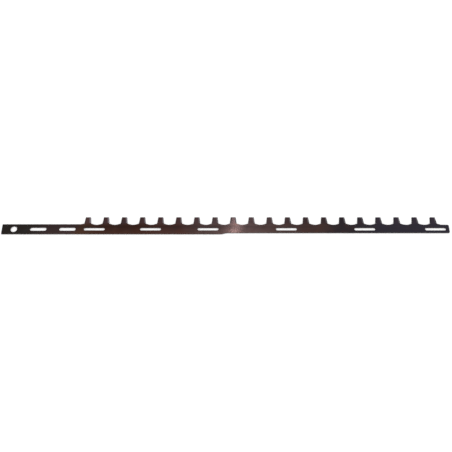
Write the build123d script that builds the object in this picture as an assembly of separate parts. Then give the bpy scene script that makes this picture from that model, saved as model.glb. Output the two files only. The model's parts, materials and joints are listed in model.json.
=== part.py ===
from build123d import *
import os
from math import cos, radians, tan

# Hedge trimmer blade
# One flat steel bar: a drive hole and a plain shank at the left, cutting teeth along the
# upper edge, and guide slots along the middle line.
# The origin is the centre of the drive hole on the underside. +X runs along the bar to the
# tip end, +Y points to the tooth tips and +Z is the upper face. All sizes are millimetres.

# Bar
thickness = 2.5
shank_half_width = 10.4
drive_end_overhang = 22.7
tip_end_overhang = 28.9
drive_end_corner_radius = 0.7
tip_end_corner_radius = 2.0
edge_break = 0.2

# Teeth
tooth_count = 20
tooth_pitch = 35.0
first_tooth_x = 140.6
tooth_tip_y = 26.2
tooth_tip_width = 9.7
flank_angle = 7.0
lead_in_length = 10.5
tip_corner_radius = 0.3
shoulder_radius = 0.3

# Valleys between the teeth: a round floor between two straight ramps
valley_floor_y = 9.3
valley_radius = 20.0
ramp_angle = 17.0

# Ground bevel on each flank
bevel_width = 2.6
edge_land = 1.3
bevel_start_above_shoulder = 1.7
bevel_run_out = 2.4
cutter_margin = 0.6

# Step in the back edge, counted in tooth pitches from the first tooth
back_step_station = 7.27
back_step_length = 15.6
back_step_height = 2.5

# Drive hole and slots
drive_hole_radius = 6.25
shank_slot_centres = (46.9, 102.7)
shank_slot_length = 31.8
shank_slot_width = 7.0
guide_slot_stations = (0.389, 3.466, 6.62, 10.91, 15.202, 19.078)
guide_slot_length = 40.2
guide_slot_width = 5.7

# Places worked out from the sizes above
drive_end_x = -drive_end_overhang
last_tooth_x = first_tooth_x + (tooth_count - 1) * tooth_pitch
tip_end_x = last_tooth_x + tip_end_overhang
tip_half_width = tooth_tip_width / 2
flank_slope = tan(radians(flank_angle))
ramp_slope = tan(radians(ramp_angle))
valley_vertex_y = valley_floor_y - valley_radius * (1 / cos(radians(ramp_angle)) - 1)
tip_to_valley = tooth_pitch / 2 - tip_half_width
# Each flank's line crosses its ramp's line at the shoulder
ramp_over_flank_base = valley_vertex_y + ramp_slope * (tip_to_valley - flank_slope * tooth_tip_y)
shoulder_y = ramp_over_flank_base / (1 - ramp_slope * flank_slope)
root_half_width = tip_half_width + flank_slope * (tooth_tip_y - shoulder_y)
back_edge_y = -shank_half_width
stepped_edge_y = back_edge_y + back_step_height
back_step_x = first_tooth_x + back_step_station * tooth_pitch
match_tolerance = 0.01


def tooth_centres():
    """The X of each tooth's middle line, from the drive end to the tip end."""
    return [first_tooth_x + number * tooth_pitch for number in range(tooth_count)]


def tooth_lines(centre):
    """The left flank, the flat tip and the right flank of one tooth."""
    left_foot = (centre - root_half_width, shoulder_y)
    left_tip = (centre - tip_half_width, tooth_tip_y)
    right_tip = (centre + tip_half_width, tooth_tip_y)
    right_foot = (centre + root_half_width, shoulder_y)
    return [Line(left_foot, left_tip), Line(left_tip, right_tip), Line(right_tip, right_foot)]


def valley_lines(centre):
    """The floor of the gap between one tooth and the next: ramp, round bottom, ramp."""
    left_foot = (centre + root_half_width, shoulder_y)
    vertex = (centre + tooth_pitch / 2, valley_vertex_y)
    right_foot = (centre + tooth_pitch - root_half_width, shoulder_y)
    return FilletPolyline(left_foot, vertex, right_foot, radius=valley_radius).edges()


def end_land():
    """The last ramp, which runs out into a straight edge as far as the tip end."""
    last_foot = (last_tooth_x + root_half_width, shoulder_y)
    tangent_length = valley_radius * tan(radians(ramp_angle) / 2)
    corner = (last_tooth_x + tooth_pitch / 2 - tangent_length, valley_floor_y)
    land_end = (tip_end_x, valley_floor_y)
    return FilletPolyline(last_foot, corner, land_end, radius=valley_radius).edges()


def toothed_edge():
    """Shank edge, lead-in, all teeth with the valleys between them, and the end land."""
    centres = tooth_centres()
    lead_in_end = (centres[0] - root_half_width, shoulder_y)
    lead_in_start = (lead_in_end[0] - lead_in_length, shank_half_width)
    lines = [Line((drive_end_x, shank_half_width), lead_in_start)]
    lines.append(TangentArc(lead_in_start, lead_in_end, tangent=(1, 0)))
    for centre in centres:
        lines += tooth_lines(centre)
    for centre in centres[:-1]:
        lines += valley_lines(centre)
    return lines + end_land()


def back_edge():
    """The untoothed edge, which steps in by two tangent arcs on its way to the tip end."""
    step_start = (back_step_x, back_edge_y)
    step_middle = (back_step_x + back_step_length / 2, (back_edge_y + stepped_edge_y) / 2)
    step_end = (back_step_x + back_step_length, stepped_edge_y)
    return [
        Line((drive_end_x, back_edge_y), step_start),
        TangentArc(step_start, step_middle, tangent=(1, 0)),
        TangentArc(step_end, step_middle, tangent=(-1, 0)),
        Line(step_end, (tip_end_x, stepped_edge_y)),
    ]


def bar_ends():
    """The square cut ends of the bar."""
    return [
        Line((drive_end_x, back_edge_y), (drive_end_x, shank_half_width)),
        Line((tip_end_x, stepped_edge_y), (tip_end_x, valley_floor_y)),
    ]


def corners_at(face, axis, place):
    """The corners of the outline that lie at one X or one Y."""
    return face.vertices().filter_by_position(axis, place - match_tolerance, place + match_tolerance)


def outline():
    """The stamped outline of the bar, with its corners rounded."""
    face = make_face(toothed_edge() + back_edge() + bar_ends())
    face = fillet(corners_at(face, Axis.Y, tooth_tip_y), tip_corner_radius)
    face = fillet(corners_at(face, Axis.Y, shoulder_y), shoulder_radius)
    face = fillet(corners_at(face, Axis.X, drive_end_x), drive_end_corner_radius)
    return fillet(corners_at(face, Axis.X, tip_end_x), tip_end_corner_radius)


def openings():
    """The drive hole and the eight slots, all on the middle line."""
    shapes = Circle(drive_hole_radius)
    for centre in shank_slot_centres:
        shapes += Pos(centre, 0) * SlotOverall(shank_slot_length, shank_slot_width)
    for station in guide_slot_stations:
        centre = first_tooth_x + station * tooth_pitch
        shapes += Pos(centre, 0) * SlotOverall(guide_slot_length, guide_slot_width)
    return shapes


def stamped_bar():
    """The flat bar with its holes, and with its upper edges broken."""
    bar = extrude(outline() - openings(), thickness)
    return chamfer(bar.edges().group_by(Axis.Z)[-1], edge_break)


def bevel_section():
    """The triangle that is ground off, from the flank inwards, with room to spare outside it."""
    bevel_slope = (thickness - edge_land) / bevel_width
    low_corner = (-cutter_margin, edge_land - cutter_margin * bevel_slope)
    inner_corner = (bevel_width + cutter_margin, thickness + cutter_margin * bevel_slope)
    outer_corner = (low_corner[0], inner_corner[1])
    return make_face(Polyline(low_corner, inner_corner, outer_corner, close=True))


def bevel_cutter(centre, side):
    """What grinding takes off one flank, where side is -1 for the left flank and 1 for the right."""
    foot = Vector(centre + side * root_half_width, shoulder_y, 0)
    tip = Vector(centre + side * tip_half_width, tooth_tip_y, 0)
    along = (tip - foot).normalized()
    inward = Vector(-side * along.Y, side * along.X, 0)
    start = foot + along * bevel_start_above_shoulder
    length = (tip - start).length + cutter_margin
    across = Plane(origin=start, x_dir=inward, z_dir=along * side)
    prism = extrude(across * bevel_section(), length * side)
    up = Vector(0, 0, 1)
    rising = along * (thickness - edge_land) + up * bevel_run_out
    run_out = Plane(origin=start + up * thickness, z_dir=rising)
    return split(prism, bisect_by=run_out, keep=Keep.TOP)


def blade():
    """The whole blade as one solid."""
    cutters = []
    for centre in tooth_centres():
        cutters += [bevel_cutter(centre, -1), bevel_cutter(centre, 1)]
    return stamped_bar() - cutters


os.makedirs("parts", exist_ok=True)
export_step(blade(), "parts/blade.step")
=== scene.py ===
import json
import math

import bpy
import numpy as np
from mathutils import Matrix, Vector
from mathutils.geometry import delaunay_2d_cdt


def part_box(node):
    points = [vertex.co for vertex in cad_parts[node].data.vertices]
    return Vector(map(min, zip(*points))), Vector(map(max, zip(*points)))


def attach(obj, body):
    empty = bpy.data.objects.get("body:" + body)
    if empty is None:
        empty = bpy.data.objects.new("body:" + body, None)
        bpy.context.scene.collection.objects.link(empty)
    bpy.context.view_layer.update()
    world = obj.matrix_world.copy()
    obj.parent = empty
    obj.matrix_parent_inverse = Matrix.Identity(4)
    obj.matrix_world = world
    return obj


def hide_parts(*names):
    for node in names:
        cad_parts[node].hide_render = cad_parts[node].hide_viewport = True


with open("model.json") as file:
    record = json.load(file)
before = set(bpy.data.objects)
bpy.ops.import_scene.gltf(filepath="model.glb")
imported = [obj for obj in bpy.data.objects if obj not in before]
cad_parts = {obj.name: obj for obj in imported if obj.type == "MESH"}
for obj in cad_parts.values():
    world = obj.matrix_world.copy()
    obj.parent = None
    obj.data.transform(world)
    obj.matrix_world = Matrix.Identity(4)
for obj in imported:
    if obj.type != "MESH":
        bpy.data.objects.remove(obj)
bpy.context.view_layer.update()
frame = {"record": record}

# Hedge trimmer blade: one flat steel bar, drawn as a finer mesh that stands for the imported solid.
# The origin is the centre of the drive hole on the underside, +X runs to the tip end, +Y to the
# tooth tips and +Z is the upper face. The mesh is worked out in millimetres and stored in metres.

# Millimetres in a metre, and metres in a millimetre
METRE = 1000.0
MM = 0.001

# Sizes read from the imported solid, in millimetres
low_corner, high_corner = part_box("blade")
THICKNESS = high_corner.z * METRE
DRIVE_END_X = low_corner.x * METRE
TIP_END_X = high_corner.x * METRE
TOOTH_TIP_Y = high_corner.y * METRE
BACK_EDGE_Y = low_corner.y * METRE
MOUNTS = frame["record"]["mounts"]

# Sizes of the outline, in millimetres
TOOTH_COUNT = 20
TOOTH_PITCH = 35.0
FIRST_TOOTH_X = 140.6
TIP_HALF_WIDTH = 4.85
FLANK_ANGLE = math.radians(7)
VALLEY_FLOOR_Y = 9.3
VALLEY_RADIUS = 20.0
RAMP_ANGLE = math.radians(17)
LEAD_IN_LENGTH = 10.5
BACK_STEP_X = 395.05
BACK_STEP_LENGTH = 15.6
BACK_STEP_HEIGHT = 2.5
TIP_CORNER_RADIUS = 0.3
SHOULDER_RADIUS = 0.3
DRIVE_END_CORNER_RADIUS = 0.7
TIP_END_CORNER_RADIUS = 2.0
EDGE_ROUNDING = 0.2

# Sizes of the ground bevels, in millimetres
BEVEL_WIDTH = 2.6
EDGE_LAND = 1.3
BEVEL_START = 1.7
BEVEL_RUN_OUT = 2.4

# How finely the round stretches are divided
ARC_STEP = 0.8
HOLE_STEPS = 64
SLOT_END_STEPS = 24
CORNER_STEPS = 6
ROUNDING_STEPS = 5

# The least angle between two faces that shows as an edge
SHARP_ANGLE = math.radians(20)

# What the triangulation gives back, and how near two points are when it makes them one
ALL_TRIANGLES = 0
MERGE_DISTANCE = 1e-5

# Slots of the finishes, in the order in which make_blade adds them
FLAT_FACE, DRIVE_SIDE_BEVEL, TIP_SIDE_BEVEL, WORN_EDGE, UNDERSIDE, SHEARED_WALL = range(6)

# Places worked out from the sizes above
SHANK_EDGE_Y = -BACK_EDGE_Y
STEPPED_EDGE_Y = BACK_EDGE_Y + BACK_STEP_HEIGHT
LAST_TOOTH_X = FIRST_TOOTH_X + (TOOTH_COUNT - 1) * TOOTH_PITCH
FLANK_SLOPE = math.tan(FLANK_ANGLE)
RAMP_SLOPE = math.tan(RAMP_ANGLE)
VALLEY_VERTEX_Y = VALLEY_FLOOR_Y - VALLEY_RADIUS * (1 / math.cos(RAMP_ANGLE) - 1)
TIP_TO_VALLEY = TOOTH_PITCH / 2 - TIP_HALF_WIDTH
RAMP_OVER_FLANK_BASE = VALLEY_VERTEX_Y + RAMP_SLOPE * (TIP_TO_VALLEY - FLANK_SLOPE * TOOTH_TIP_Y)
SHOULDER_Y = RAMP_OVER_FLANK_BASE / (1 - RAMP_SLOPE * FLANK_SLOPE)
ROOT_HALF_WIDTH = TIP_HALF_WIDTH + FLANK_SLOPE * (TOOTH_TIP_Y - SHOULDER_Y)
FLANK_LENGTH = (TOOTH_TIP_Y - SHOULDER_Y) / math.cos(FLANK_ANGLE)
BEVEL_SLOPE = (THICKNESS - EDGE_LAND) / BEVEL_WIDTH
RUN_OUT_SLOPE = (THICKNESS - EDGE_LAND) / BEVEL_RUN_OUT
TOOTH_CENTRES = [FIRST_TOOTH_X + number * TOOTH_PITCH for number in range(TOOTH_COUNT)]


def arc(centre_x, centre_y, radius, start, end, step=ARC_STEP):
    """Points along an arc, both ends included. The angles are in radians."""
    count = max(2, math.ceil(abs(end - start) * radius / step))
    angles = [start + (end - start) * number / count for number in range(count + 1)]
    return [(centre_x + radius * math.cos(angle), centre_y + radius * math.sin(angle)) for angle in angles]


def plain(points):
    """Outline points that aren't rounded."""
    return [(x, y, 0.0) for x, y in points]


def valley_points(middle_x, start=RAMP_ANGLE):
    """The round floor of a gap, from so many radians right of its bottom to the ramp on its left."""
    down = -math.pi / 2
    centre_y = VALLEY_FLOOR_Y + VALLEY_RADIUS
    return arc(middle_x, centre_y, VALLEY_RADIUS, down + start, down - RAMP_ANGLE)


def tooth_corners(centre_x):
    """One tooth from its right foot over the tip to its left foot, with the corner radii."""
    return [
        (centre_x + ROOT_HALF_WIDTH, SHOULDER_Y, SHOULDER_RADIUS),
        (centre_x + TIP_HALF_WIDTH, TOOTH_TIP_Y, TIP_CORNER_RADIUS),
        (centre_x - TIP_HALF_WIDTH, TOOTH_TIP_Y, TIP_CORNER_RADIUS),
        (centre_x - ROOT_HALF_WIDTH, SHOULDER_Y, SHOULDER_RADIUS),
    ]


def back_edge_corners():
    """The back edge from the drive end to the tip end, with its step of two tangent arcs."""
    step_end_x = BACK_STEP_X + BACK_STEP_LENGTH
    radius = (BACK_STEP_LENGTH ** 2 + BACK_STEP_HEIGHT ** 2) / (4 * BACK_STEP_HEIGHT)
    half_angle = math.asin(BACK_STEP_LENGTH / 2 / radius)
    down = -math.pi / 2
    up = math.pi / 2
    rise = arc(BACK_STEP_X, BACK_EDGE_Y + radius, radius, down, down + half_angle)
    settle = arc(step_end_x, STEPPED_EDGE_Y - radius, radius, up + half_angle, up)
    corners = [(DRIVE_END_X, BACK_EDGE_Y, DRIVE_END_CORNER_RADIUS)]
    corners += plain(rise[:-1] + settle)
    return corners + [(TIP_END_X, STEPPED_EDGE_Y, TIP_END_CORNER_RADIUS)]


def tip_land_corners():
    """The land past the last tooth, up to the tooth's foot."""
    curve = valley_points(LAST_TOOTH_X + TOOTH_PITCH / 2, start=0.0)
    return [(TIP_END_X, VALLEY_FLOOR_Y, TIP_END_CORNER_RADIUS)] + plain(curve)


def lead_in_corners():
    """The easy rise from the shank up to the first tooth, walked from the tooth to the drive end."""
    rise = SHOULDER_Y - SHANK_EDGE_Y
    start_x = FIRST_TOOTH_X - ROOT_HALF_WIDTH - LEAD_IN_LENGTH
    radius = (LEAD_IN_LENGTH ** 2 + rise ** 2) / (2 * rise)
    half_angle = math.asin(LEAD_IN_LENGTH / radius)
    down = -math.pi / 2
    curve = arc(start_x, SHANK_EDGE_Y + radius, radius, down + half_angle, down)
    return plain(curve[1:]) + [(DRIVE_END_X, SHANK_EDGE_Y, DRIVE_END_CORNER_RADIUS)]


def rounded(corners):
    """The closed outline through the corners, each rounded by its own radius."""
    points = []
    for number, (x, y, radius) in enumerate(corners):
        if radius == 0.0:
            points.append((x, y))
            continue
        here = Vector((x, y))
        before = Vector(corners[number - 1][:2]) - here
        after = Vector(corners[(number + 1) % len(corners)][:2]) - here
        half_angle = before.angle(after) / 2
        bisector = (before.normalized() + after.normalized()).normalized()
        centre = here + bisector * radius / math.sin(half_angle)
        start = here + before.normalized() * radius / math.tan(half_angle) - centre
        end = here + after.normalized() * radius / math.tan(half_angle) - centre
        first = math.atan2(start.y, start.x)
        turn = (math.atan2(end.y, end.x) - first + math.pi) % (2 * math.pi) - math.pi
        for step in range(CORNER_STEPS + 1):
            angle = first + turn * step / CORNER_STEPS
            points.append((centre.x + radius * math.cos(angle), centre.y + radius * math.sin(angle)))
    return points


def outline_loop():
    """The bar's outline, walked with the steel on the left hand."""
    corners = back_edge_corners() + tip_land_corners()
    for centre_x in reversed(TOOTH_CENTRES):
        corners += tooth_corners(centre_x)
        if centre_x > FIRST_TOOTH_X:
            corners += plain(valley_points(centre_x - TOOTH_PITCH / 2))
    return rounded(corners + lead_in_corners())


def slot_loop(centre_x, length, width):
    """A round-ended slot, walked with the steel on the left hand."""
    radius = width / 2
    reach = length / 2 - radius
    quarter = math.pi / 2
    step = math.pi * radius / SLOT_END_STEPS
    left = arc(centre_x - reach, 0.0, radius, 3 * quarter, quarter, step)
    right = arc(centre_x + reach, 0.0, radius, quarter, -quarter, step)
    return left + right


def hole_loops():
    """The drive hole and the slots, at the places and sizes of the record's mounts."""
    loops = []
    for mount in MOUNTS:
        dims = mount["dims"]
        centre_x = mount["pos_m"][0] * METRE
        if mount["kind"] == "bore":
            step = 2 * math.pi * dims["r_mm"] / HOLE_STEPS
            circle = arc(centre_x, 0.0, dims["r_mm"], 2 * math.pi, 0.0, step)
            loops.append(circle[:-1])
        if mount["kind"] == "bolt_pattern":
            for side in (-0.5, 0.5):
                slot_x = centre_x + side * dims["spacing_x_mm"]
                loops.append(slot_loop(slot_x, dims["slot_length_mm"], 2 * dims["hole_r_mm"]))
    return loops


def inset(loop, distance):
    """The loop moved into the steel by a distance."""
    points = np.array(loop)
    ahead = np.roll(points, -1, axis=0) - points
    ahead /= np.linalg.norm(ahead, axis=1)[:, None]
    behind = np.roll(ahead, 1, axis=0)
    inward_ahead = np.stack([-ahead[:, 1], ahead[:, 0]], axis=1)
    inward_behind = np.stack([-behind[:, 1], behind[:, 0]], axis=1)
    middle = inward_ahead + inward_behind
    middle /= np.linalg.norm(middle, axis=1)[:, None]
    reach = distance / (middle * inward_ahead).sum(axis=1)
    return [tuple(point) for point in points + middle * reach[:, None]]


def rounding_depths():
    """How far inside the outline each ring of the edge rounding lies."""
    angles = [math.pi / 2 * step / ROUNDING_STEPS for step in range(1, ROUNDING_STEPS + 1)]
    return [EDGE_ROUNDING * (1 - math.cos(angle)) for angle in angles]


class Flank:
    """One flank of a tooth, with its bevel. The side is -1 for the left flank and 1 for the right."""

    def __init__(self, centre_x, side):
        self.side = side
        self.foot = np.array([centre_x + side * ROOT_HALF_WIDTH, SHOULDER_Y])
        self.along = np.array([-side * math.sin(FLANK_ANGLE), math.cos(FLANK_ANGLE)])
        self.inward = np.array([-side * math.cos(FLANK_ANGLE), -math.sin(FLANK_ANGLE)])

    def point(self, depth, run):
        """The plan point at a depth inside the flank and a run up from its foot."""
        return tuple(self.foot + self.inward * depth + self.along * run)

    def creases(self):
        """The lines where the bevel and its run-out meet the flat face and each other."""
        start = self.point(0.0, BEVEL_START)
        inner = self.point(BEVEL_WIDTH, BEVEL_START)
        full = self.point(0.0, BEVEL_START + BEVEL_RUN_OUT)
        top = self.point(BEVEL_WIDTH, FLANK_LENGTH - BEVEL_WIDTH * math.tan(FLANK_ANGLE))
        return [(start, inner), (inner, full), (inner, top)]

    def height(self, plan):
        """The height that the bevel leaves at each plan point."""
        offset = plan - self.foot
        depth = offset @ self.inward
        run = offset @ self.along
        bevel = EDGE_LAND + depth * BEVEL_SLOPE
        run_out = THICKNESS - (run - BEVEL_START) * RUN_OUT_SLOPE
        ground = np.maximum(bevel, run_out)
        near = (depth > -EDGE_ROUNDING) & (depth < BEVEL_WIDTH) & (run > BEVEL_START)
        return np.where(near, np.minimum(ground, THICKNESS), THICKNESS)


def edge_distance(plan, loops):
    """How far each plan point lies from the nearest edge of the outline or of a hole."""
    starts = np.concatenate([np.array(loop) for loop in loops])
    ends = np.concatenate([np.roll(np.array(loop), -1, axis=0) for loop in loops])
    spans = ends - starts
    lengths = (spans ** 2).sum(axis=1)
    nearest = np.empty(len(plan))
    for number, point in enumerate(plan):
        share = np.clip(((point - starts) * spans).sum(axis=1) / lengths, 0.0, 1.0)
        gaps = point - (starts + spans * share[:, None])
        nearest[number] = math.sqrt((gaps ** 2).sum(axis=1).min())
    return nearest


def top_heights(plan, distance, flanks):
    """The height of the upper face at each plan point, with rounded edges and ground bevels."""
    inside = np.clip(EDGE_ROUNDING - distance, 0.0, EDGE_ROUNDING)
    height = THICKNESS - EDGE_ROUNDING + np.sqrt(EDGE_ROUNDING ** 2 - inside ** 2)
    for flank in flanks:
        height = np.minimum(height, flank.height(plan))
    return height


def plan_triangles(loops, flanks):
    """The plan of the bar as triangles that follow its edges, its rounding rings and its creases."""
    points = []
    edges = []
    faces = []

    def add_loop(loop):
        first = len(points)
        points.extend(loop)
        indices = list(range(first, first + len(loop)))
        edges.extend(zip(indices, indices[1:] + indices[:1]))
        return indices

    for loop in loops:
        faces.append(add_loop(loop))
    for depth in rounding_depths():
        for loop in loops:
            add_loop(inset(loop, depth))
    for flank in flanks:
        for start, end in flank.creases():
            points.extend([start, end])
            edges.append((len(points) - 2, len(points) - 1))
    plan = [Vector(point) for point in points]
    result = delaunay_2d_cdt(plan, edges, faces, ALL_TRIANGLES, MERGE_DISTANCE)
    vertices, triangles, origins = result[0], result[2], result[5]
    steel = [triangle for triangle, origin in zip(triangles, origins) if len(origin) == len(loops)]
    return np.array([tuple(vertex) for vertex in vertices]), steel


def boundary_edges(triangles):
    """The edges that only one triangle uses, in that triangle's order."""
    seen = {}
    for a, b, c in triangles:
        for start, end in ((a, b), (b, c), (c, a)):
            if (end, start) in seen:
                del seen[(end, start)]
            else:
                seen[(start, end)] = True
    return list(seen)


def finish_zones(plan, triangles, loops, flanks):
    """For each triangle of the upper face, the slot of its finish: flat face, bevel or worn edge."""
    centres = plan[np.array(triangles)].mean(axis=1)
    distance = edge_distance(centres, loops)
    unground = top_heights(centres, distance, [])
    zones = np.full(len(triangles), FLAT_FACE)
    zones[distance < EDGE_ROUNDING] = WORN_EDGE
    for flank in flanks:
        slot = DRIVE_SIDE_BEVEL if flank.side < 0 else TIP_SIDE_BEVEL
        zones[flank.height(centres) < unground] = slot
    return zones.tolist()


def build_blade_mesh():
    """The whole blade as one closed mesh: upper face, underside and the walls between them."""
    loops = [outline_loop()] + hole_loops()
    flanks = [Flank(centre_x, side) for centre_x in TOOTH_CENTRES for side in (-1, 1)]
    plan, triangles = plan_triangles(loops, flanks)
    used = sorted({corner for triangle in triangles for corner in triangle})
    renumber = {old: new for new, old in enumerate(used)}
    plan = plan[used]
    triangles = [tuple(renumber[corner] for corner in triangle) for triangle in triangles]
    height = top_heights(plan, edge_distance(plan, loops), flanks)
    count = len(plan)
    upper = np.column_stack([plan, height])
    lower = np.column_stack([plan, np.zeros(count)])
    walls = [(b, a, a + count, b + count) for a, b in boundary_edges(triangles)]
    faces = triangles + [(c + count, b + count, a + count) for a, b, c in triangles] + walls
    mesh = bpy.data.meshes.new("blade_steel")
    mesh.from_pydata((np.concatenate([upper, lower]) * MM).tolist(), [], faces)
    zones = finish_zones(plan, triangles, loops, flanks)
    zones += [UNDERSIDE] * len(triangles) + [SHEARED_WALL] * len(walls)
    mesh.polygons.foreach_set("material_index", zones)
    mesh.polygons.foreach_set("use_smooth", [True] * len(faces))
    mesh.update()
    mesh.set_sharp_from_angle(angle=SHARP_ANGLE)
    return mesh


# Noise seldom leaves the range between these two levels
NOISE_LOW = 0.3
NOISE_HIGH = 0.7

WHITE = (1.0, 1.0, 1.0, 1.0)


def linear(colour):
    """A colour given as 0 to 255 in sRGB, as the linear colour that a shader takes, by the sRGB curve."""
    shares = [value / 255 for value in colour]
    return tuple(s / 12.92 if s <= 0.04045 else ((s + 0.055) / 1.055) ** 2.4 for s in shares) + (1.0,)


class Finish:
    """A material and short names for the nodes that it is made of."""

    def __init__(self, name):
        self.material = bpy.data.materials.new(name)
        self.material.use_nodes = True
        self.tree = self.material.node_tree
        self.shader = self.tree.nodes["Principled BSDF"]
        self.place = self.tree.nodes.new("ShaderNodeTexCoord").outputs["Object"]

    def put(self, socket, value):
        """Links an output to a socket, or sets the socket to a plain value."""
        if isinstance(value, bpy.types.NodeSocket):
            self.tree.links.new(value, socket)
        else:
            socket.default_value = value

    def set(self, **values):
        """Sets the shader's sockets. An underscore stands for a space in a socket's name."""
        for name, value in values.items():
            self.put(self.shader.inputs[name.replace("_", " ")], value)

    def noise(self, scale, detail, stretch=(1.0, 1.0, 1.0)):
        """Noise from 0 to 1 with so many blotches to the metre, squeezed along each axis."""
        mapping = self.tree.nodes.new("ShaderNodeMapping")
        mapping.inputs["Scale"].default_value = stretch
        self.put(mapping.inputs["Vector"], self.place)
        node = self.tree.nodes.new("ShaderNodeTexNoise")
        node.inputs["Scale"].default_value = scale
        node.inputs["Detail"].default_value = detail
        self.put(node.inputs["Vector"], mapping.outputs["Vector"])
        return node.outputs["Fac"]

    def along(self, axis):
        """The place along one axis, in metres."""
        node = self.tree.nodes.new("ShaderNodeSeparateXYZ")
        self.put(node.inputs["Vector"], self.place)
        return node.outputs[axis]

    def sum(self, first, second):
        """Two values added."""
        node = self.tree.nodes.new("ShaderNodeMath")
        node.operation = "ADD"
        self.put(node.inputs[0], first)
        self.put(node.inputs[1], second)
        return node.outputs["Value"]

    def span(self, value, low, high, to_low=0.0, to_high=1.0):
        """A value moved from one range to another, and kept inside it."""
        node = self.tree.nodes.new("ShaderNodeMapRange")
        for name, setting in (("Value", value), ("From Min", low), ("From Max", high)):
            self.put(node.inputs[name], setting)
        node.inputs["To Min"].default_value = to_low
        node.inputs["To Max"].default_value = to_high
        return node.outputs["Result"]

    def ramp(self, value, stops):
        """A colour picked from a list of places from 0 to 1, each with its colour."""
        node = self.tree.nodes.new("ShaderNodeValToRGB")
        elements = node.color_ramp.elements
        while len(elements) < len(stops):
            elements.new(1.0)
        for element, (place, colour) in zip(elements, stops):
            element.position = place
            element.color = linear(colour)
        self.put(node.inputs["Fac"], value)
        return node.outputs["Color"]

    def mix(self, share, first, second, blend="MIX"):
        """Two colours mixed, by a share from 0 to 1."""
        node = self.tree.nodes.new("ShaderNodeMix")
        node.data_type = "RGBA"
        node.blend_type = blend
        colour_sockets = [socket for socket in node.inputs if socket.type == "RGBA"]
        self.put(node.inputs["Factor"], share)
        self.put(colour_sockets[0], first)
        self.put(colour_sockets[1], second)
        return next(socket for socket in node.outputs if socket.type == "RGBA")

    def shade(self, share, low, high):
        """A grey from low to high, to multiply a colour by."""
        value = self.span(share, NOISE_LOW, NOISE_HIGH, low, high)
        node = self.tree.nodes.new("ShaderNodeCombineColor")
        for socket in node.inputs:
            self.put(socket, value)
        return node.outputs["Color"]

    def toned(self, tint, share, depth):
        """A colour made darker and lighter, by up to so much of its brightness."""
        return self.mix(1.0, tint, self.shade(share, 1 - depth, 1 + depth), "MULTIPLY")

    def bump(self, height, distance, under=None):
        """A bump of so many metres, over another one if it is given."""
        node = self.tree.nodes.new("ShaderNodeBump")
        node.inputs["Distance"].default_value = distance
        self.put(node.inputs["Height"], height)
        if under is not None:
            self.put(node.inputs["Normal"], under)
        return node.outputs["Normal"]


# The colours of the oiled oxide, as sRGB. The two sheen colours are painted: they stand for the glow of
# the mirrored overhead box around the middle of the bar
OXIDE_BLACK = (40, 35, 33)
OXIDE_PLUM = (66, 51, 51)
OXIDE_SIENNA = (76, 53, 42)
OXIDE_RUST = (67, 43, 36)
OXIDE_CHESTNUT = (77, 51, 46)
OXIDE_BROWN = (69, 52, 50)
# Painted sheen: lighter oxide that stands for the glow of the overhead box mirrored in the face
OXIDE_PAINTED_SHEEN = (89, 71, 69)
OXIDE_PAINTED_SHEEN_PEAK = (96, 77, 76)
OXIDE_SLATE = (47, 41, 46)
OXIDE_VIOLET = (48, 45, 54)

# Where each colour lies along the bar, in millimetres from the drive hole
OXIDE_RUN = (
    (0.0, OXIDE_BLACK),
    (30.0, OXIDE_BLACK),
    (95.0, OXIDE_PLUM),
    (112.0, OXIDE_PLUM),
    (126.0, OXIDE_SIENNA),
    (138.0, OXIDE_SIENNA),
    (160.0, OXIDE_RUST),
    (235.0, OXIDE_RUST),
    (280.0, OXIDE_CHESTNUT),
    (318.0, OXIDE_CHESTNUT),
    # Painted sheen from here to 478 mm, around the overhead box mirrored in the face
    (372.0, OXIDE_PAINTED_SHEEN),
    (430.0, OXIDE_PAINTED_SHEEN),
    (453.0, OXIDE_PAINTED_SHEEN_PEAK),
    (478.0, OXIDE_PAINTED_SHEEN),
    (560.0, OXIDE_BROWN),
    (585.0, OXIDE_BROWN),
    (622.0, OXIDE_SLATE),
    (650.0, OXIDE_SLATE),
    (710.0, OXIDE_VIOLET),
)

# How far a change of colour strays along the bar, in metres
DRIFT_REACH = 0.012

# Colours that the oxide is mottled with, as sRGB, and how strong a full stain of each is
FRESH_RUST = (82, 53, 43)
OIL_GREY = (50, 50, 50)
RUST_SHARE = 0.4
OIL_SHARE = 0.35

# The levels of noise at which a stain starts and is full
STAIN_START = 0.5
STAIN_FULL = 0.75

# How strongly rust shows along the bar, from black for none to white for full, in millimetres from
# the drive hole
RUST_REACH = (
    (20.0, (0, 0, 0)),
    (70.0, (255, 255, 255)),
    (600.0, (255, 255, 255)),
    (700.0, (150, 150, 150)),
)

# Painted light and shade that the face is multiplied by: a painted sheen along its back edge and on the
# teeth, darker between them
BAND_LIGHT = (255, 252, 252)
BAND_DARK = (200, 203, 208)

# Where these tones start and end across the bar, in metres from its middle line, and the share of
# the way at which the darkest lies
BAND_START_Y = -0.008
BAND_END_Y = 0.014
BAND_DARK_PLACE = 0.6

# How strongly these tones show along the bar, from black for none to white for full, in millimetres
# from the drive hole
STRIP_RUN = (
    (-20.0, (150, 150, 150)),
    (10.0, (50, 50, 50)),
    (25.0, (50, 50, 50)),
    (110.0, (255, 255, 255)),
    (420.0, (255, 255, 255)),
    (500.0, (190, 190, 190)),
    (720.0, (60, 60, 60)),
)

# The colour that the teeth are drawn towards, in millimetres from the drive hole
TOOTH_RUN = (
    (140.0, (84, 66, 74)),
    (240.0, (50, 46, 56)),
    (440.0, (46, 44, 52)),
    (490.0, (30, 30, 40)),
    (540.0, (30, 32, 42)),
    (640.0, (40, 32, 38)),
    (700.0, (62, 50, 60)),
    (805.0, (66, 53, 62)),
)

# Where that colour sets in and is full, in metres from the middle line, and how strong it is there
TOOTH_TINT_START_Y = 0.009
TOOTH_TINT_FULL_Y = 0.014
TOOTH_TINT_SHARE = 0.35

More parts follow.
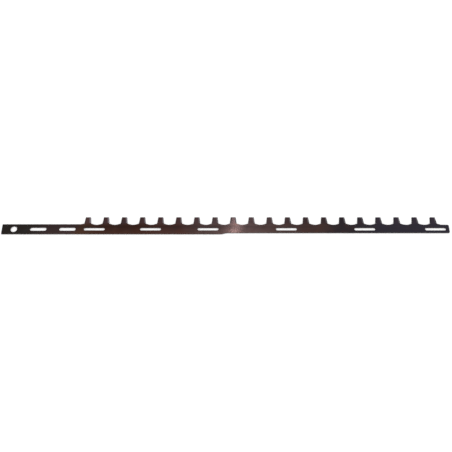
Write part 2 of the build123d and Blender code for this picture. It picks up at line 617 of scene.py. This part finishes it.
# The painted light on the bevels facing the tip end: a lighter colour for the side that the light falls
# on, in millimetres from the drive hole
BEVEL_RUN = (
    (215.0, (150, 146, 156)),
    (250.0, (118, 116, 122)),
    (700.0, (115, 112, 116)),
)

# The painted shade on the bevels facing the drive end, as sRGB, and how far all bevels are drawn from
# oxide towards their painted colour
BEVEL_DARK = (46, 44, 48)
BEVEL_PAINTED_LIGHT_SHARE = 0.5

# The colours of the other surfaces, as sRGB
EDGE_RUBBED = (92, 88, 90)
GROUND_DARK = (74, 68, 68)
GROUND_LIGHT = (112, 106, 105)
WALL_SMOOTH = (68, 61, 61)
WALL_TORN = (50, 45, 44)

# How finely the lines of each surface divide a metre along X, Y and Z
FACE_LINES = (40.0, 2600.0, 2600.0)
BEVEL_LINES = (3000.0, 120.0, 120.0)
UNDERSIDE_LINES = (25.0, 2200.0, 2200.0)
WALL_LINES = (1800.0, 1800.0, 60.0)

# How high the lines and the grain stand, in metres
FACE_LINE_HEIGHT = 0.0000012
FACE_GRAIN_HEIGHT = 0.0000002
BEVEL_LINE_HEIGHT = 0.00002
UNDERSIDE_LINE_HEIGHT = 0.00003
WALL_LINE_HEIGHT = 0.00005

# How rough each surface is
FACE_ROUGHNESS_LOW = 0.08
FACE_ROUGHNESS_HIGH = 0.115
BEVEL_ROUGHNESS = 0.3
EDGE_ROUGHNESS = 0.34
UNDERSIDE_ROUGHNESS = 0.3
WALL_SMOOTH_ROUGHNESS = 0.32
WALL_TORN_ROUGHNESS = 0.6

# Where the torn band of the walls ends and the smooth band starts, and how far this wanders, in metres
TORN_END_Z = 0.0013
SMOOTH_START_Z = 0.0015
TORN_WANDER = 0.0002


def along_bar(finish, run):
    """A colour that changes along the bar, with each change a little out of line here and there."""
    blotches = finish.noise(scale=26.0, detail=2.0)
    drift = finish.span(blotches, NOISE_LOW, NOISE_HIGH, -DRIFT_REACH, DRIFT_REACH)
    place = finish.sum(finish.along("X"), drift)
    share = finish.span(place, DRIVE_END_X * MM, TIP_END_X * MM)
    length = TIP_END_X - DRIVE_END_X
    return finish.ramp(share, [((x - DRIVE_END_X) / length, colour) for x, colour in run])


def oxide_tint(finish):
    """The brown to violet black of the oiled oxide, with a painted sheen around the middle of the bar."""
    return along_bar(finish, OXIDE_RUN)


def mottled(finish, tint):
    """The tint with soft rust and oil stains."""
    rust = finish.span(finish.noise(scale=95.0, detail=4.0), STAIN_START, STAIN_FULL, 0.0, RUST_SHARE)
    rusted = finish.mix(rust, tint, linear(FRESH_RUST))
    tint = finish.mix(along_bar(finish, RUST_REACH), tint, rusted)
    blotches = finish.noise(scale=60.0, detail=3.0, stretch=(1.0, 1.6, 1.0))
    oil = finish.span(blotches, STAIN_START, STAIN_FULL, 0.0, OIL_SHARE)
    return finish.mix(oil, tint, linear(OIL_GREY))


def tooth_tint_and_painted_sheen(finish, tint):
    """The tint with a painted sheen across the bar, darker below the valleys, and with cooler grey steel
    on the teeth.
    """
    across = finish.along("Y")
    share = finish.span(across, BAND_START_Y, BAND_END_Y)
    # Painted sheen across the bar: lighter along the back edge and on the teeth, darker below the valleys
    tone = finish.ramp(share, [(0.0, BAND_LIGHT), (BAND_DARK_PLACE, BAND_DARK), (1.0, BAND_LIGHT)])
    tint = finish.mix(along_bar(finish, STRIP_RUN), tint, tone, "MULTIPLY")
    on_tooth = finish.span(across, TOOTH_TINT_START_Y, TOOTH_TINT_FULL_Y, 0.0, TOOTH_TINT_SHARE)
    return finish.mix(on_tooth, tint, along_bar(finish, TOOTH_RUN))


def face_steel():
    """The flat upper face: oxide with blotches, fine grain and faint grinding lines along the bar, and a
    painted sheen across and along it.
    """
    finish = Finish("face_steel")
    tint = tooth_tint_and_painted_sheen(finish, mottled(finish, oxide_tint(finish)))
    lines = finish.noise(scale=1.0, detail=2.0, stretch=FACE_LINES)
    tint = finish.toned(tint, lines, depth=0.14)
    grain = finish.noise(scale=900.0, detail=3.0)
    tint = finish.toned(tint, grain, depth=0.06)
    smear = finish.noise(scale=28.0, detail=3.0)
    normal = finish.bump(lines, FACE_LINE_HEIGHT)
    normal = finish.bump(grain, FACE_GRAIN_HEIGHT, normal)
    rough = finish.span(smear, NOISE_LOW, NOISE_HIGH, FACE_ROUGHNESS_LOW, FACE_ROUGHNESS_HIGH)
    finish.set(Base_Color=tint, Metallic=1.0, Roughness=rough, Normal=normal)
    return finish.material


def ground_bevel(finish, colour):
    """One side's cutting bevels, with grinding lines that run up the flank."""
    # The colour given is painted: light on the bevels facing the tip end, shade on those facing the drive
    # end
    tint = finish.mix(BEVEL_PAINTED_LIGHT_SHARE, oxide_tint(finish), colour)
    lines = finish.noise(scale=1.0, detail=2.0, stretch=BEVEL_LINES)
    tint = finish.toned(tint, lines, depth=0.2)
    stain = finish.noise(scale=160.0, detail=3.0)
    tint = finish.toned(tint, stain, depth=0.15)
    normal = finish.bump(lines, BEVEL_LINE_HEIGHT)
    finish.set(Base_Color=tint, Metallic=1.0, Roughness=BEVEL_ROUGHNESS, Normal=normal)
    return finish.material


def drive_side_bevel_painted_shade():
    """The bevels that face the drive end, in a painted shade darker than the face."""
    return ground_bevel(Finish("drive_side_bevel_painted_shade"), linear(BEVEL_DARK))


def tip_side_bevel_painted_light():
    """The bevels that face the tip end, with painted light: a little lighter, most of all on the first
    teeth.
    """
    finish = Finish("tip_side_bevel_painted_light")
    return ground_bevel(finish, along_bar(finish, BEVEL_RUN))


def worn_edge():
    """The rounded upper edges, worn lighter where the oxide has gone."""
    finish = Finish("worn_edge")
    tint = oxide_tint(finish)
    wear = finish.span(finish.noise(scale=120.0, detail=3.0), low=0.4, high=0.7, to_low=0.1, to_high=0.35)
    tint = finish.mix(wear, tint, linear(EDGE_RUBBED))
    finish.set(Base_Color=tint, Metallic=1.0, Roughness=EDGE_ROUGHNESS)
    return finish.material


def underside_steel():
    """The flat sliding face: dull steel ground along the bar, with stains of oxide."""
    finish = Finish("underside_steel")
    lines = finish.noise(scale=1.0, detail=3.0, stretch=UNDERSIDE_LINES)
    tint = finish.mix(finish.span(lines, NOISE_LOW, NOISE_HIGH), linear(GROUND_DARK), linear(GROUND_LIGHT))
    stain = finish.span(finish.noise(scale=40.0, detail=4.0), low=0.45, high=0.7, to_high=0.6)
    tint = finish.mix(stain, tint, oxide_tint(finish))
    normal = finish.bump(lines, UNDERSIDE_LINE_HEIGHT)
    finish.set(Base_Color=tint, Metallic=1.0, Roughness=UNDERSIDE_ROUGHNESS, Normal=normal)
    return finish.material


def sheared_wall():
    """The stamped walls: a smooth band at the top, a torn and duller band below it."""
    finish = Finish("sheared_wall")
    lines = finish.noise(scale=1.0, detail=3.0, stretch=WALL_LINES)
    blotches = finish.noise(scale=90.0, detail=3.0, stretch=(1.0, 1.0, 0.0))
    wander = finish.span(blotches, NOISE_LOW, NOISE_HIGH, -TORN_WANDER, TORN_WANDER)
    level = finish.sum(finish.along("Z"), wander)
    torn = finish.span(level, TORN_END_Z, SMOOTH_START_Z, to_low=1.0, to_high=0.0)
    tint = finish.mix(torn, linear(WALL_SMOOTH), linear(WALL_TORN))
    tint = finish.toned(tint, lines, depth=0.2)
    rough = finish.span(torn, 0.0, 1.0, WALL_SMOOTH_ROUGHNESS, WALL_TORN_ROUGHNESS)
    normal = finish.bump(lines, WALL_LINE_HEIGHT)
    finish.set(Base_Color=tint, Metallic=1.0, Roughness=rough, Normal=normal)
    return finish.material


def make_blade():
    """The blade's finer mesh, with one finish for each kind of surface."""
    blade = bpy.data.objects.new("blade_steel", build_blade_mesh())
    bpy.context.scene.collection.objects.link(blade)
    finishes = (face_steel, drive_side_bevel_painted_shade, tip_side_bevel_painted_light, worn_edge, underside_steel, sheared_wall)
    for make_finish in finishes:
        blade.data.materials.append(make_finish())
    weights = blade.modifiers.new("face_weights", "WEIGHTED_NORMAL")
    weights.keep_sharp = True
    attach(blade, "root")
    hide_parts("blade")


# The floor: its size and how far below the blade it lies, in metres, its colour as sRGB, how rough it
# is and how much it glows where it is seen
FLOOR_SIZE = 12.0
FLOOR_DROP = 0.00005
FLOOR_COLOUR = (236, 236, 236)
FLOOR_ROUGHNESS = 0.9
FLOOR_LIFT = 0.33


def make_floor():
    """A plain white floor that keeps the blade's shadow and shows as white to the camera."""
    half = FLOOR_SIZE / 2
    mesh = bpy.data.meshes.new("floor")
    corners = [(-half, -half, 0.0), (half, -half, 0.0), (half, half, 0.0), (-half, half, 0.0)]
    mesh.from_pydata(corners, [], [(0, 1, 2, 3)])
    floor = bpy.data.objects.new("floor", mesh)
    floor.location = (VIEW_CENTRE.x, VIEW_CENTRE.y, -FLOOR_DROP)
    bpy.context.scene.collection.objects.link(floor)
    finish = Finish("floor_white")
    finish.set(Base_Color=linear(FLOOR_COLOUR), Roughness=FLOOR_ROUGHNESS, Specular_IOR_Level=0.0)
    finish.set(Emission_Color=WHITE)
    lift = finish.span(seen_directly(finish.tree), 0.0, 1.0, 0.0, FLOOR_LIFT)
    finish.set(Emission_Strength=lift)
    mesh.materials.append(finish.material)


def seen_directly(tree):
    """1 for rays from the camera and for mirrored and transmitted rays, otherwise 0."""
    path = tree.nodes.new("ShaderNodeLightPath")
    total = path.outputs["Is Camera Ray"]
    for name in ("Is Glossy Ray", "Is Transmission Ray"):
        node = tree.nodes.new("ShaderNodeMath")
        node.operation = "MAXIMUM"
        tree.links.new(total, node.inputs[0])
        tree.links.new(path.outputs[name], node.inputs[1])
        total = node.outputs["Value"]
    return total


# How bright the surround is as a light, and where it is seen or mirrored
WORLD_LEVEL = 0.9
WHITE_LEVEL = 1.0


def make_world():
    """A plain white surround: full white where it is seen or mirrored, softer as a light."""
    world = bpy.data.worlds.new("studio")
    bpy.context.scene.world = world
    world.use_nodes = True
    tree = world.node_tree
    background = tree.nodes["Background"]
    background.inputs["Color"].default_value = WHITE
    level = tree.nodes.new("ShaderNodeMapRange")
    level.inputs["To Min"].default_value = WORLD_LEVEL
    level.inputs["To Max"].default_value = WHITE_LEVEL
    tree.links.new(seen_directly(tree), level.inputs["Value"])
    tree.links.new(level.outputs["Result"], background.inputs["Strength"])


# The camera: what it looks at and from how far, in metres, its tilt, and its lens in millimetres
VIEW_CENTRE = Vector((0.4067, 0.0078, 0.0))
VIEW_ELEVATION = math.radians(62.0)
VIEW_DISTANCE = 1.294
LENS = 53.567
SENSOR = 36.0


def make_camera():
    """The photograph's view: from above the back edge, with the teeth pointing away."""
    camera = bpy.data.objects.new("camera", bpy.data.cameras.new("camera"))
    camera.data.lens = LENS
    camera.data.sensor_width = SENSOR
    back = Vector((0.0, -math.cos(VIEW_ELEVATION), math.sin(VIEW_ELEVATION)))
    camera.location = VIEW_CENTRE + back * VIEW_DISTANCE
    camera.rotation_euler = (math.pi / 2 - VIEW_ELEVATION, 0.0, 0.0)
    bpy.context.scene.collection.objects.link(camera)
    bpy.context.scene.camera = camera


# The soft boxes: their places, the points that they face and their sizes, in metres
OVERHEAD_BOX_PLACE = (0.4365, 0.597, 1.18)
OVERHEAD_BOX_AIM = (0.28, 0.0, 0.0)
OVERHEAD_BOX_SIZE = (0.01, 0.14)
RIGHT_BOX_PLACE = (2.2, 0.2, 0.9)
LEFT_BOX_PLACE = (-1.4, -0.4, 1.3)
SIDE_BOX_AIM = (0.4, 0.0, 0.0)
SIDE_BOX_SIZE = (0.8, 0.8)


def make_lamp(name, place, aim, size, watts):
    """One soft box, turned towards a point of the blade. Sizes and places are metres."""
    data = bpy.data.lights.new(name, "AREA")
    data.shape = "RECTANGLE"
    data.size, data.size_y = size
    data.energy = watts
    lamp = bpy.data.objects.new(name, data)
    lamp.location = place
    lamp.rotation_euler = (Vector(aim) - Vector(place)).to_track_quat("-Z", "Y").to_euler()
    lamp.visible_camera = False
    bpy.context.scene.collection.objects.link(lamp)


def make_lights():
    """A small overhead box that the blade mirrors at its middle, and two large side boxes."""
    make_lamp("overhead_box", OVERHEAD_BOX_PLACE, OVERHEAD_BOX_AIM, OVERHEAD_BOX_SIZE, watts=0.07)
    make_lamp("right_box", RIGHT_BOX_PLACE, SIDE_BOX_AIM, SIDE_BOX_SIZE, watts=3.0)
    make_lamp("left_box", LEFT_BOX_PLACE, SIDE_BOX_AIM, SIDE_BOX_SIZE, watts=2.0)


make_camera()
make_blade()
make_world()
make_floor()
make_lights()
bpy.context.scene.view_settings.view_transform = "Standard"
